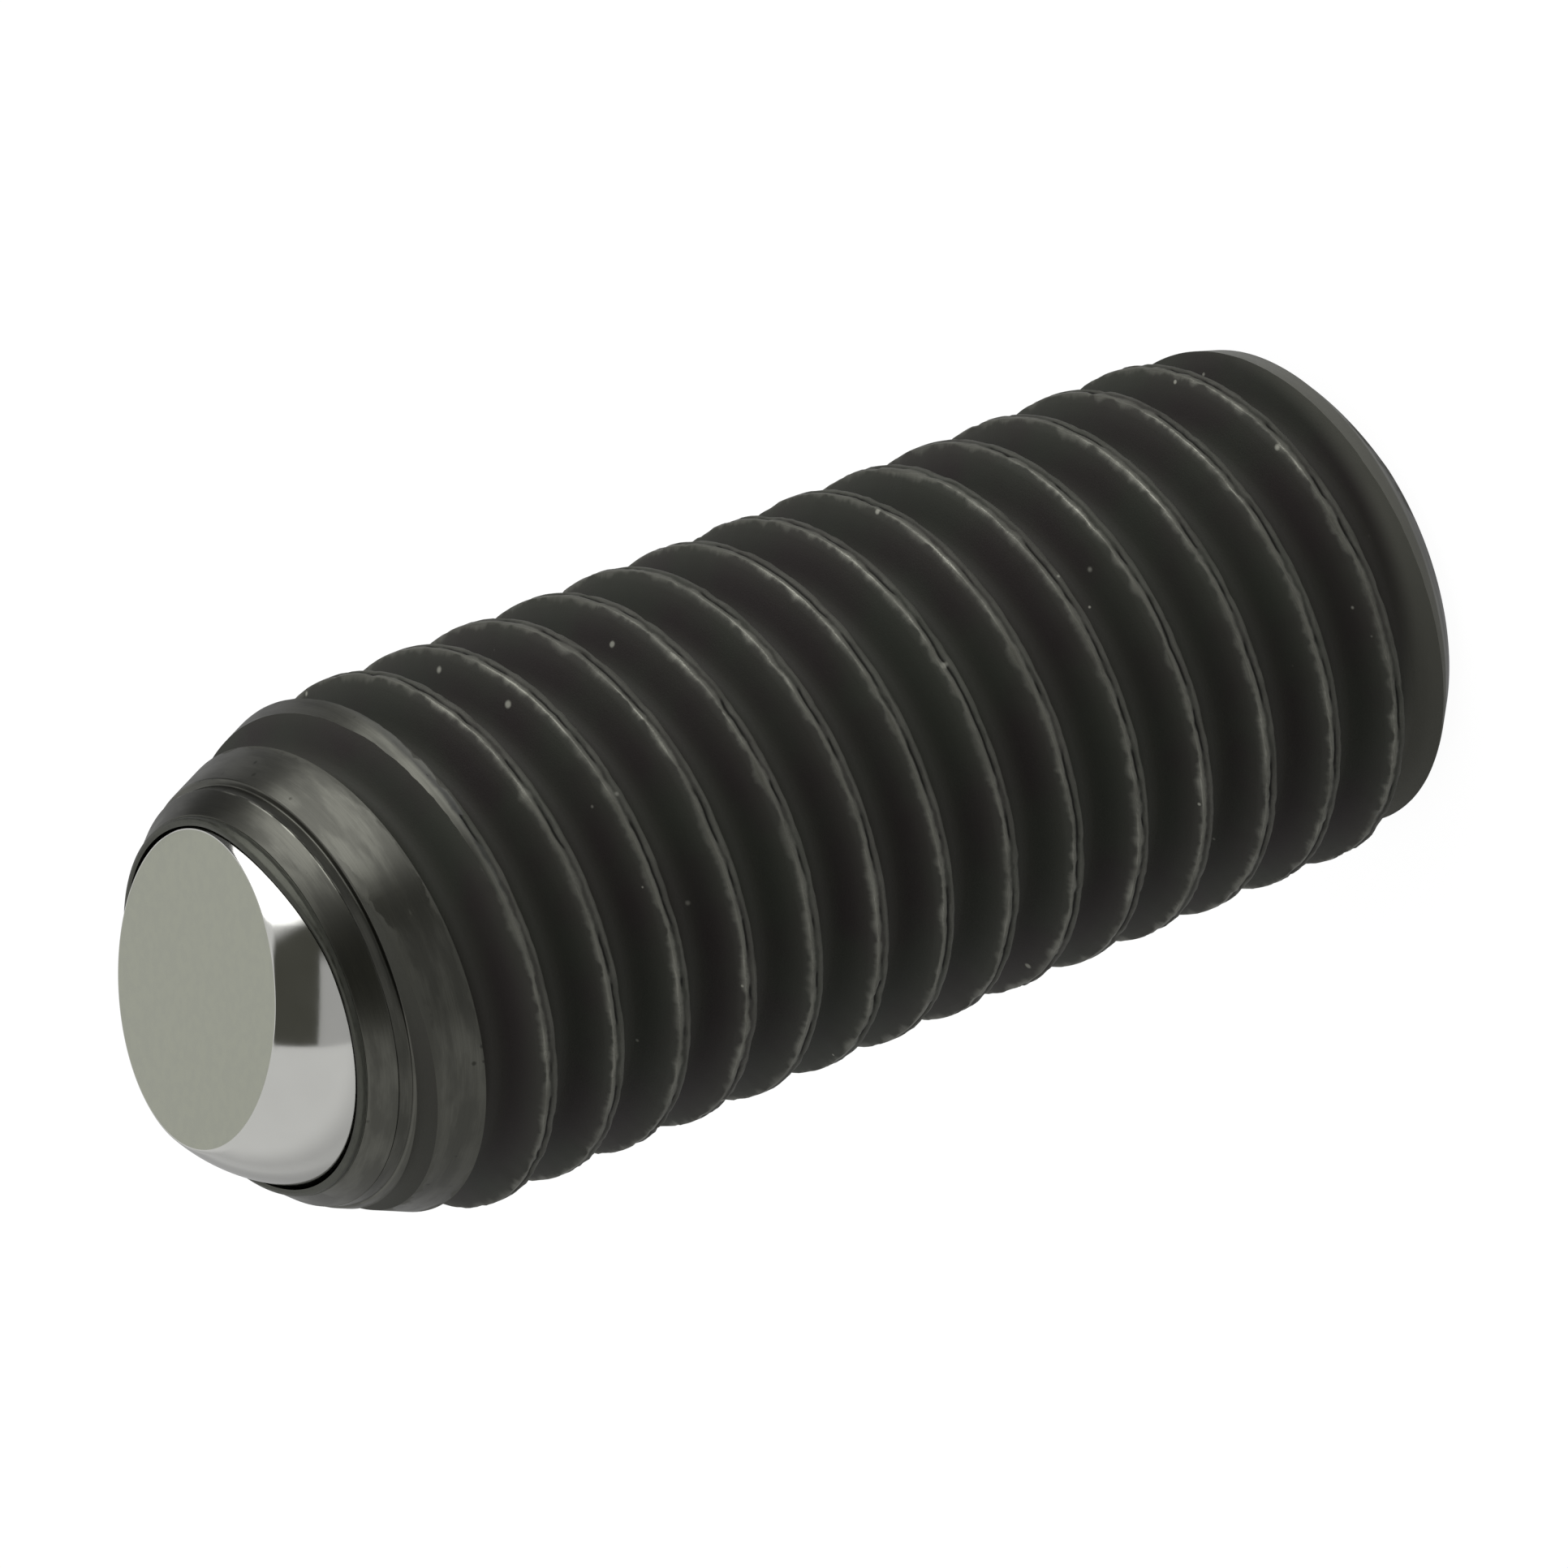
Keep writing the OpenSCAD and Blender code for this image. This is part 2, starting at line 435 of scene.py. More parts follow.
def tidy_cuts(obj):
    """Takes out the slivers and very short edges that booleans leave."""
    shape = bmesh.new()
    shape.from_mesh(obj.data)
    bmesh.ops.dissolve_degenerate(shape, dist=0.002 * MM, edges=shape.edges)
    shape.to_mesh(obj.data)
    shape.free()


def arc(centre_height, radius, start, end, steps):
    """Points of a circle round (0, centre_height), from one polar angle above the equator to another."""
    points = []
    for step in range(steps + 1):
        angle = start + (end - start) * step / steps
        points.append((radius * math.cos(angle), centre_height + radius * math.sin(angle)))
    return points


def blank_outline():
    """The turned outline of the screw: chamfered end, bevel, relief, collar, rim and ball seat."""
    lead_slope = (END_LEAD - END_CHAMFER) / (CREST_RADIUS - END_EDGE_RADIUS)
    lead_height = END_CHAMFER + (BLANK_RADIUS - END_EDGE_RADIUS) * lead_slope
    bevel_foot = BEVEL_HEIGHT - (BLANK_RADIUS - BEVEL_RADIUS) / math.tan(BEVEL_ANGLE)
    relief_radius = COLLAR_RADIUS - RELIEF_DEPTH
    relief_top = BEVEL_HEIGHT + RELIEF_HEIGHT
    rim_inside = math.sqrt(SEAT_RADIUS ** 2 - BALL_DEPTH ** 2)
    rim_outside = rim_inside + RIM_LAND
    break_height = BODY_LENGTH - RIM_BREAK
    corners = [
        (0, 0, 0),
        (END_FACE_RADIUS, 0, 0.05 * MM),
        (END_EDGE_RADIUS, END_CHAMFER, 0.08 * MM),
        (BLANK_RADIUS, lead_height, 0),
        (BLANK_RADIUS, bevel_foot, 0),
        (BEVEL_RADIUS, BEVEL_HEIGHT, 0.05 * MM),
        (relief_radius, BEVEL_HEIGHT, 0.03 * MM),
        (relief_radius, relief_top, 0.01 * MM),
        (COLLAR_RADIUS, relief_top, 0.012 * MM),
        (rim_outside + RIM_BREAK, break_height, 0.02 * MM),
        (rim_outside + RIM_BREAK - LIP_STEP, break_height, 0.01 * MM),
        (rim_outside + RIM_BREAK - LIP_STEP, BODY_LENGTH - LIP_STEP, 0.05 * MM),
        (rim_outside + RIM_OPENING, BODY_LENGTH, 0.02 * MM),
        (rim_inside + RIM_OPENING, BODY_LENGTH - 0.01 * MM, 0),
    ]
    rim_angle = math.asin(BALL_DEPTH / SEAT_RADIUS)
    seat = arc(BALL_CENTRE.z, SEAT_RADIUS, rim_angle, -math.pi / 2, 40)
    return rounded(corners) + seat[2:]


def fold_lip(blank):
    """Rolling has folded the lip a little further over the ball on one side, between -Y and +X."""
    deepest = math.radians(-52)
    for vertex in blank.data.vertices:
        x, y, z = vertex.co
        if z > BODY_LENGTH - 1.5 * LIP_STEP:
            away = abs(math.atan2(y, x) - deepest) / math.radians(38)
            share = max(1 - away * away, 0) ** 2
            scale = 1 - 0.055 * MM * share / math.hypot(x, y)
            vertex.co = (x * scale, y * scale, z + 0.08 * MM * share)


def run_out_relief(blank):
    """The relief is cut off centre, so it fades out towards -X, where the collar runs down to the bevel."""
    relief_top = BEVEL_HEIGHT + RELIEF_HEIGHT
    foot_radius = BEVEL_RADIUS - 0.04 * MM
    for vertex in blank.data.vertices:
        x, y, z = vertex.co
        radius = math.hypot(x, y)
        if BEVEL_HEIGHT - 0.001 * MM < z < relief_top + 0.001 * MM and radius < foot_radius:
            full = COLLAR_RADIUS + (foot_radius - COLLAR_RADIUS) * (relief_top - z) / RELIEF_HEIGHT
            share = min(max(-x / radius / 0.6, 0), 1)
            share *= share * (3 - 2 * share)
            scale = 1 + (full / radius - 1) * share
            vertex.co = (x * scale, y * scale, z)


def prism_outline(corner_radius, low, high):
    """With six segments this spins into a hexagonal prism, with corners on +X and -X."""
    return [(0, low), (corner_radius, low), (corner_radius, high), (0, high)]


def cone_outline(radius, low, high):
    """This spins into a cone from a disc at low to a point at high."""
    return [(0, low), (radius, low), (0, high)]


def screw_body(thread_finish, turned_finish, socket_finish, rolled_finish):
    """The threaded body, from the rolled rod, trimmed by the turned outline, with its hexagon socket cut."""
    body = new_object("threaded_body", bpy.data.meshes.new("threaded_body"))
    sizes = {
        "Low End": -0.3 * MM,
        "High End": BODY_LENGTH + 0.3 * MM,
        "Crest Rounding": 0.12 * MM,
        "Crest Swell": 0.045 * MM,
        "Seam Depth": 0.05 * MM,
        "Seam Width": 0.045 * MM,
        "Seam Wander": SEAM_WANDER,
        "Crest Raggedness": 0.14 * MM,
        "Burr Size": 0.07 * MM,
        "Chip Depth": 0.04 * MM,
        "Row Crowding": 0.6,
        "Seed": 3.0,
    }
    modifier = body.modifiers.new("threaded_rod", "NODES")
    modifier.node_group = threaded_rod_tree(thread_finish)
    for socket in modifier.node_group.interface.items_tree:
        if socket.in_out == "INPUT" and socket.name in sizes:
            modifier[socket.identifier] = sizes[socket.name]
    settle(body)
    finishes = [thread_finish, turned_finish, socket_finish, rolled_finish]
    coat(body, finishes, thread_finish)
    corner_radius = HEX_FLATS / 2 / math.cos(math.radians(30))
    mouth_radius = corner_radius + MOUTH_MARGIN
    drill_height = HEX_FLATS / 2 / math.tan(DRILL_HALF_ANGLE)
    overlap = 0.01 * MM
    hexagon = prism_outline(corner_radius, -PITCH / 2, HEX_DEPTH)
    drill = cone_outline(HEX_FLATS / 2, HEX_DEPTH - overlap, HEX_DEPTH + drill_height)
    mouth = cone_outline(mouth_radius, -overlap, mouth_radius)
    blank = turned_object("blank", blank_outline(), STEPS_PER_TURN, finishes, turned_finish)
    for face in blank.data.polygons:
        in_seat = face.normal.xy.dot(face.center.xy) < 0
        if in_seat or face.center.z > BODY_LENGTH - RIM_BREAK - 0.001 * MM:
            face.material_index = finishes.index(rolled_finish)
    fold_lip(blank)
    run_out_relief(blank)
    combine(body, blank, "INTERSECT")
    cuts = [
        ("hexagon", hexagon, 6, socket_finish, "DIFFERENCE"),
        ("drill", drill, 96, socket_finish, "DIFFERENCE"),
        ("mouth", mouth, 96, socket_finish, "DIFFERENCE"),
    ]
    for name, outline, segments, chosen, operation in cuts:
        combine(body, turned_object(name, outline, segments, finishes, chosen), operation)
    tidy_cuts(body)
    smooth(body, 32, [thread_finish])
    return body


def ball(polished_finish, ground_finish):
    """The ball, with its ground flat, tilted as it lies at rest."""
    edge_angle = math.asin(FLAT_RISE / BALL_RADIUS)
    flat_radius = BALL_RADIUS * math.cos(edge_angle)
    edge = 0.03 * MM
    outline = arc(0, BALL_RADIUS, -math.pi / 2, edge_angle - edge / BALL_RADIUS, 90)
    outline[0] = (0, -BALL_RADIUS)
    outline += [(flat_radius - edge * 0.3, FLAT_RISE - edge * 0.08), (flat_radius - edge, FLAT_RISE), (0, FLAT_RISE)]
    finishes = [polished_finish, ground_finish]
    piece = turned_object("swivel_ball_steel", outline, 192, finishes, polished_finish)
    for face in piece.data.polygons:
        if face.center.z > FLAT_RISE - 0.001 * MM:
            face.material_index = 1
    axis = (FLAT_CENTRE - BALL_CENTRE).normalized()
    turn = Vector((0, 0, 1)).rotation_difference(axis).to_matrix().to_4x4()
    piece.data.transform(Matrix.Translation(BALL_CENTRE) @ turn)
    smooth(piece, 25)
    return piece


def helix_position_group():
    """Where a point lies on the thread: height above the middle of its crest, and length along the helix."""
    inputs = {
        "Vector": ("NodeSocketVector", None),
        "Pitch": ("NodeSocketFloat", PITCH),
        "Crest Height": ("NodeSocketFloat", CREST_HEIGHT),
    }
    outputs = {
        "Offset": "NodeSocketFloat",
        "Along": "NodeSocketVector",
        "Crest Line": "NodeSocketVector",
        "Sunk": "NodeSocketFloat",
    }
    wire, entry, leave = new_tree("helix_position", "ShaderNodeTree", inputs, outputs)
    math_ = wire.math
    x, y, z = wire.split(entry["Vector"])
    turned = math_("DIVIDE", math_("ARCTAN2", y, x), math.tau)
    above = math_("DIVIDE", math_("SUBTRACT", z, entry["Crest Height"]), entry["Pitch"])
    level = math_("ADD", math_("SUBTRACT", above, turned), 0.5)
    turn = math_("FLOOR", level)
    offset = math_("MULTIPLY", math_("SUBTRACT", math_("SUBTRACT", level, turn), 0.5), entry["Pitch"])
    wire.feed(leave["Offset"], offset)
    radius = math_("SQRT", math_("ADD", math_("MULTIPLY", x, x), math_("MULTIPLY", y, y)))
    length = math_("MULTIPLY", math_("ADD", turn, turned), math_("MULTIPLY", radius, math.tau))
    wire.feed(leave["Along"], wire.join(length, offset, radius))
    stretch = math_("DIVIDE", CREST_RADIUS, radius)
    line = wire.join(math_("MULTIPLY", x, stretch), math_("MULTIPLY", y, stretch), math_("SUBTRACT", z, offset))
    wire.feed(leave["Crest Line"], line)

    # How far the point lies inside the thread's own section, which is 0 at a groove's edge
    side = math_("SUBTRACT", math_("ABSOLUTE", offset), CREST_WIDTH / 2)
    drop = math_("MINIMUM", math_("MAXIMUM", math_("DIVIDE", side, math.tan(FLANK_ANGLE)), 0), THREAD_DEPTH)
    wire.feed(leave["Sunk"], math_("SUBTRACT", math_("SUBTRACT", CREST_RADIUS, drop), radius))
    return wire.tree


def crest_wear_and_painted_light_group(helix_position):
    """What rolling leaves on the crest, with painted light: two pale worn lips, the nose-side one painted brighter as a
    highlight, painted shade in the seam between them, and a paler band along the crest, partly wear and partly a
    painted soft highlight.
    """
    inputs = {
        "Vector": ("NodeSocketVector", None),
        "Lip Spacing": ("NodeSocketFloat", 0.18 * MM),
        "Lip Width": ("NodeSocketFloat", 0.085 * MM),
    }
    outputs = {"Lips": "NodeSocketFloat", "Seam": "NodeSocketFloat", "Band": "NodeSocketFloat"}
    wire, entry, leave = new_tree("crest_wear_and_painted_light", "ShaderNodeTree", inputs, outputs)
    math_ = wire.math
    place = wire.add("ShaderNodeGroup", {"Vector": entry["Vector"]}, node_tree=helix_position).outputs
    offset = place["Offset"]
    line = place["Crest Line"]
    length, _, radius = wire.split(place["Along"])
    streaks = wire.join(math_("MULTIPLY", length, 0.2), offset, radius)
    seam_middle = seam_place(wire, line, SEAM_WANDER)
    bulge = math_("MULTIPLY", burrs(wire, line), 0.03 * MM)

    def ridge(side, seed, strength):
        centre = math_("MULTIPLY_ADD", entry["Lip Spacing"], 0.5 * side, seam_middle)
        ragged = math_("SUBTRACT", wire.noise(line, 0.35 * MM, 5.0, seed), 0.5)
        reach = math_("MULTIPLY_ADD", ragged, 0.22 * MM, math_("ADD", entry["Lip Width"], bulge))
        reach = math_("MAXIMUM", reach, 0.02 * MM)
        away = math_("ABSOLUTE", math_("SUBTRACT", offset, centre))
        ridge_mask = wire.step(away, reach, math_("MULTIPLY", reach, 0.1))
        patchy = wire.step(wire.noise(line, 1.1 * MM, 3.0, seed + 2), 0.36, 0.56, 0.6, 1.0)
        return math_("MULTIPLY", math_("MULTIPLY", ridge_mask, patchy), strength)

    # Painted highlight: the nose-side lip is painted at full strength and the rear lip at 0.38, for the light the nose
    # side catches.
    lips = math_("MAXIMUM", ridge(1, 61.0, 1.0), ridge(-1, 65.0, 0.38))
    grain = wire.step(wire.noise(streaks, 0.03 * MM, 3.0, 69.0), 0.35, 0.6, 0.65, 1.0)
    # Painted shade: the open seam is a real crevice, and this mask paints it dark for the shade inside it.
    from_seam = math_("ABSOLUTE", math_("SUBTRACT", offset, seam_middle))
    seam = wire.step(from_seam, 0.034 * MM, 0.01 * MM)
    open_seam = math_("MULTIPLY", seam, seam_opening(wire, line))
    wire.feed(leave["Lips"], math_("MULTIPLY", lips, grain))
    wire.feed(leave["Seam"], open_seam)
    # A paler band along the crest, partly wear and partly a painted soft highlight on the rounded crest.
    wire.feed(leave["Band"], wire.step(math_("ABSOLUTE", offset), 0.38 * MM, 0.12 * MM))
    return wire.tree


def torn_edge_and_glint_group(helix_position):
    """The turned strip beside each groove, which rolling has roughened and the turned finish paints lighter as a glint:
    1 at the edge, with a ragged end.
    """
    inputs = {
        "Vector": ("NodeSocketVector", None),
        "Strip Depth": ("NodeSocketFloat", 0.16 * MM),
    }
    wire, entry, leave = new_tree("torn_edge_and_glint", "ShaderNodeTree", inputs, {"Strip": "NodeSocketFloat"})
    math_ = wire.math
    place = wire.add("ShaderNodeGroup", {"Vector": entry["Vector"]}, node_tree=helix_position).outputs
    _, _, radius = wire.split(place["Along"])
    outside_collar = wire.step(radius, 4.06 * MM, 4.12 * MM)
    ragged = math_("SUBTRACT", wire.noise(entry["Vector"], 0.4 * MM, 4.0, 91.0), 0.5)
    reach = math_("MAXIMUM", math_("MULTIPLY_ADD", ragged, 0.9 * MM, entry["Strip Depth"]), 0.02 * MM)
    strip = wire.step(place["Sunk"], reach, math_("MULTIPLY", reach, 0.4))
    wire.feed(leave["Strip"], math_("MULTIPLY", strip, outside_collar))
    return wire.tree


def specks_group():
    """Small pale dots scattered over a surface."""
    inputs = {
        "Vector": ("NodeSocketVector", None),
        "Spacing": ("NodeSocketFloat", 2 * MM),
        "Size": ("NodeSocketFloat", 0.05 * MM),
        "Share": ("NodeSocketFloat", 0.5),
    }
    wire, entry, leave = new_tree("specks", "ShaderNodeTree", inputs, {"Mask": "NodeSocketFloat"})
    scale = wire.math("DIVIDE", 1, entry["Spacing"])
    cells = wire.add("ShaderNodeTexVoronoi", {"Vector": entry["Vector"], "Scale": scale})
    reach = wire.math("MULTIPLY", cells.outputs["Distance"], entry["Spacing"])
    red, green, _ = wire.split(cells.outputs["Color"])
    size = wire.math("MULTIPLY", entry["Size"], wire.math("ADD", green, 0.4))
    dot = wire.math("SUBTRACT", 1, wire.step(reach, wire.math("MULTIPLY", size, 0.4), size))
    chosen = wire.math("LESS_THAN", red, entry["Share"])
    wire.feed(leave["Mask"], wire.math("MULTIPLY", dot, chosen))
    return wire.tree


def turning_marks_group():
    """Fine rings that a lathe tool leaves round the Z axis, from 0 to 1."""
    inputs = {
        "Vector": ("NodeSocketVector", None),
        "Feed": ("NodeSocketFloat", 0.05 * MM),
    }
    wire, entry, leave = new_tree("turning_marks", "ShaderNodeTree", inputs, {"Height": "NodeSocketFloat"})
    math_ = wire.math
    x, y, z = wire.split(entry["Vector"])
    radius = math_("SQRT", math_("ADD", math_("MULTIPLY", x, x), math_("MULTIPLY", y, y)))
    turned = math_("ARCTAN2", y, x)
    round_ = math_("MULTIPLY", turned, 0.15 * MM)
    rings = wire.join(math_("SUBTRACT", z, radius), math_("ADD", z, radius), round_)
    scale = math_("DIVIDE", 1, entry["Feed"])
    coarse = wire.add("ShaderNodeTexNoise", {"Vector": rings, "Scale": scale, "Detail": 3.0})
    wire.feed(leave["Height"], coarse.outputs[0])
    return wire.tree


class Finish:
    """A material with a Principled shader, and the point in Object coordinates."""

    def __init__(self, name, **fixed):
        self.material = bpy.data.materials.new(name)
        self.material.use_nodes = True
        self.wire = Wiring(self.material.node_tree)
        self.shader = self.material.node_tree.nodes["Principled BSDF"]
        self.point = self.wire.add("ShaderNodeTexCoord").outputs["Object"]
        for label, value in fixed.items():
            self.shader.inputs[label.replace("_", " ").title().replace("Ior", "IOR")].default_value = value

    def group(self, tree, **inputs):
        named = {label.replace("_", " ").title(): value for label, value in inputs.items()}
        node = self.wire.add("ShaderNodeGroup", node_tree=tree)
        for label, value in named.items():
            self.wire.feed(node.inputs[label], value)
        return node.outputs

    def surface(self, base_color, roughness, height=None, relief=0.0):
        self.wire.feed(self.shader.inputs["Base Color"], base_color)
        self.wire.feed(self.shader.inputs["Roughness"], roughness)
        if height is not None:
            bump = self.wire.add("ShaderNodeBump", {"Strength": 1.0, "Distance": relief, "Height": height})
            self.wire.feed(self.shader.inputs["Normal"], bump.outputs["Normal"])
        return self.material


def thread_finish(crest_wear_and_painted_light, specks):
    """Blackened rolled thread: matte flanks, and pale worn lips along the crest with painted shade in the seam between.
    The nose-side lip, a band along the crest, the roots and the last turn before the bevel are painted lighter as
    painted light.
    """
    finish = Finish("blackened_thread", specular_ior_level=0.2)
    wire = finish.wire
    math_ = wire.math
    crest_marks = finish.group(crest_wear_and_painted_light, vector=finish.point)
    cloud = wire.noise(finish.point, 2.5 * MM, 3.0, 1.0)
    base = wire.mix(wire.step(cloud, 0.35, 0.65), colour(46, 42, 41), colour(48, 50, 44))
    x, y, z = wire.split(finish.point)
    radius = math_("SQRT", math_("ADD", math_("MULTIPLY", x, x), math_("MULTIPLY", y, y)))
    # Painted light: the roots are painted lighter, for the light they catch.
    root = wire.step(radius, CREST_RADIUS - THREAD_DEPTH + 0.3 * MM, CREST_RADIUS - THREAD_DEPTH + 0.05 * MM)
    base = wire.mix(math_("MULTIPLY", root, 0.5), base, colour(62, 62, 56))
    # Painted highlight: the flanks of the last turn before the bevel are painted lighter.
    run_out = wire.step(z, BEVEL_HEIGHT - 1.6 * MM, BEVEL_HEIGHT - 0.3 * MM)
    base = wire.mix(math_("MULTIPLY", run_out, 0.6), base, colour(72, 72, 66))
    base = wire.mix(wire.step(z, 1.05 * MM, 0.8 * MM), base, colour(90, 90, 83))
    # The crest band is partly wear and partly a painted soft highlight; the nose-side lip is a painted highlight and
    # the seam painted shade.
    band = wire.mix(math_("MULTIPLY", crest_marks["Band"], 0.45), base, colour(68, 69, 62))
    skin = wire.mix(crest_marks["Lips"], band, colour(124, 124, 116))
    skin = wire.mix(crest_marks["Seam"], skin, colour(26, 26, 22))
    dots = finish.group(specks, vector=finish.point, spacing=0.8 * MM, size=0.07 * MM, share=0.5)["Mask"]
    skin = wire.mix(dots, skin, colour(150, 150, 140))
    grain = wire.noise(finish.point, 0.035 * MM, 3.0, 10.0)
    bright = math_("MULTIPLY", math_("SUBTRACT", 1, crest_marks["Seam"]), crest_marks["Lips"])
    wire.feed(finish.shader.inputs["Metallic"], bright)
    return finish.surface(skin, wire.step(bright, 0.0, 1.0, 0.62, 0.36), grain, 0.003 * MM)


def turned_finish(turning_marks, crest_wear_and_painted_light, torn_edge_and_glint, specks):
    """Blackened turned steel with fine rings. Out at the crests the rolled look takes over."""
    finish = Finish("blackened_turned")
    wire = finish.wire
    math_ = wire.math
    x, y, z = wire.split(finish.point)
    radius = math_("SQRT", math_("ADD", math_("MULTIPLY", x, x), math_("MULTIPLY", y, y)))
    rolled = wire.step(radius, 4.84 * MM, 4.91 * MM)
    rings = finish.group(turning_marks, vector=finish.point, feed=0.035 * MM)["Height"]
    cloud = wire.noise(finish.point, 1.2 * MM, 4.0, 21.0)
    turned = wire.join(math_("MULTIPLY", math_("ARCTAN2", y, x), 1.1 * MM), z, radius)
    smear = wire.noise(turned, 0.3 * MM, 5.0, 23.0)
    base = wire.mix(wire.step(smear, 0.38, 0.62), colour(78, 78, 73), colour(91, 91, 85))
    ring_tone = wire.step(rings, 0.3, 0.7)
    skin = wire.mix(math_("MULTIPLY", ring_tone, 0.3), base, colour(70, 70, 65))
    # Painted highlight: the strip at each groove's edge is painted lighter, as the glint of a burr, and made rougher.
    edge = finish.group(torn_edge_and_glint, vector=finish.point)
    on_bevel = math_("MULTIPLY", edge["Strip"], wire.step(radius, 4.7 * MM, 4.6 * MM))
    skin = wire.mix(math_("MULTIPLY", on_bevel, 0.7), skin, colour(93, 93, 87))
    # Painted highlight: patches of the collar's outer edge are painted bright as rubbed metal, only on the +X side,
    # where the light catches it.
    from_edge = math_("ABSOLUTE", math_("SUBTRACT", z, BEVEL_HEIGHT + RELIEF_HEIGHT))
    outer = wire.step(radius, COLLAR_RADIUS - 0.05 * MM, COLLAR_RADIUS - 0.02 * MM)
    one_side = math_("MULTIPLY", outer, wire.step(x, 0.3 * MM, 1.6 * MM))
    rubbed_edge_and_highlight = math_("MULTIPLY", wire.step(from_edge, 0.045 * MM, 0.01 * MM), one_side)
    patchy = wire.step(wire.noise(turned, 0.12 * MM, 4.0, 27.0), 0.44, 0.6)
    skin = wire.mix(math_("MULTIPLY", rubbed_edge_and_highlight, patchy), skin, colour(150, 150, 141))
    pits = finish.group(specks, vector=finish.point, spacing=0.28 * MM, size=0.06 * MM, share=0.5)["Mask"]
    pitted = math_("MULTIPLY", pits, wire.step(cloud, 0.52, 0.6))
    skin = wire.mix(math_("MULTIPLY", pitted, 0.6), skin, colour(28, 28, 25))
    # Out at the crests: pale worn lips, the nose-side one a painted highlight, and painted shade in the seam.
    crest_marks = finish.group(crest_wear_and_painted_light, vector=finish.point)
    thread = wire.mix(crest_marks["Lips"], colour(42, 43, 38), colour(124, 124, 116))
    thread = wire.mix(crest_marks["Seam"], thread, colour(26, 26, 22))
    skin = wire.mix(rolled, skin, thread)
    nicks = finish.group(specks, vector=turned, spacing=0.6 * MM, size=0.05 * MM, share=0.4)["Mask"]
    skin = wire.mix(nicks, skin, colour(150, 150, 142))
    cloudy = wire.step(smear, 0.38, 0.62, 0.35, 0.3)
    roughness = wire.step(rolled, 0.0, 1.0, math_("MULTIPLY_ADD", on_bevel, 0.25, cloudy), 0.5)
    lead_in = math_("MULTIPLY", wire.step(z, 0.3 * MM, 0.38 * MM), wire.step(z, 1.6 * MM, 1.3 * MM))
    skin = wire.mix(lead_in, skin, wire.mix(smear, colour(84, 84, 77), colour(100, 100, 92)))
    dull = math_("MAXIMUM", lead_in, math_("MULTIPLY", rolled, math_("SUBTRACT", 1, crest_marks["Lips"])))
    wire.feed(finish.shader.inputs["Metallic"], math_("SUBTRACT", 1, dull))
    return finish.surface(skin, roughness, rings, 0.0012 * MM)


def rolled_finish():
    """Blackened steel of the lip that is rolled over the ball, and of the ball's seat."""
    finish = Finish("blackened_lip", metallic=1.0)
    wire = finish.wire
    x, y, z = wire.split(finish.point)
    turned = wire.math("ARCTAN2", y, x)
    lapped = wire.join(wire.math("MULTIPLY", turned, 0.9 * MM), z, 0.0)
    streaks = wire.noise(lapped, 0.05 * MM, 4.0, 81.0)
    base = wire.mix(streaks, colour(58, 59, 54), colour(90, 91, 84))
    return finish.surface(base, wire.step(streaks, 0.25, 0.75, 0.36, 0.5), streaks, 0.006 * MM)


def socket_finish(specks):
    """Blackened broached steel inside the hexagon socket."""
    finish = Finish("blackened_socket", metallic=0.0, specular_ior_level=0.6)
    wire = finish.wire
    x, y, z = wire.split(finish.point)
    streaks = wire.noise(wire.join(x, y, wire.math("MULTIPLY", z, 0.05)), 0.06 * MM, 3.0, 31.0)
    base = wire.mix(streaks, colour(24, 24, 21), colour(48, 48, 43))
    dots = finish.group(specks, vector=finish.point, spacing=1.5 * MM, size=0.05 * MM, share=0.3)["Mask"]
    skin = wire.mix(dots, base, colour(130, 130, 120))
    return finish.surface(skin, wire.step(streaks, 0.2, 0.8, 0.35, 0.5), streaks, 0.004 * MM)


def polished_finish():
    """Hardened ball steel, polished, with faint handling marks."""
    finish = Finish("polished_ball", metallic=1.0)
    wire = finish.wire
    haze = wire.noise(finish.point, 0.9 * MM, 5.0, 41.0)
    base = wire.mix(haze, colour(190, 190, 186), colour(200, 200, 196))
    roughness = wire.step(haze, 0.3, 0.7, 0.09, 0.13)
    fine = wire.noise(finish.point, 0.05 * MM, 3.0, 43.0)
    return finish.surface(base, roughness, fine, 0.0001 * MM)


def ground_finish():
    """The flat ground on the ball: a fine, even, matte grey with faint mottling."""
    finish = Finish("ground_flat", metallic=1.0)
    wire = finish.wire
    mottle = wire.noise(finish.point, 0.22 * MM, 5.0, 51.0)
    fine = wire.noise(finish.point, 0.03 * MM, 2.0, 53.0)
    base = wire.mix(wire.step(mottle, 0.35, 0.65), colour(163, 165, 153), colour(169, 171, 158))
    roughness = wire.step(mottle, 0.3, 0.7, 0.42, 0.5)
    return finish.surface(base, roughness, fine, 0.003 * MM)


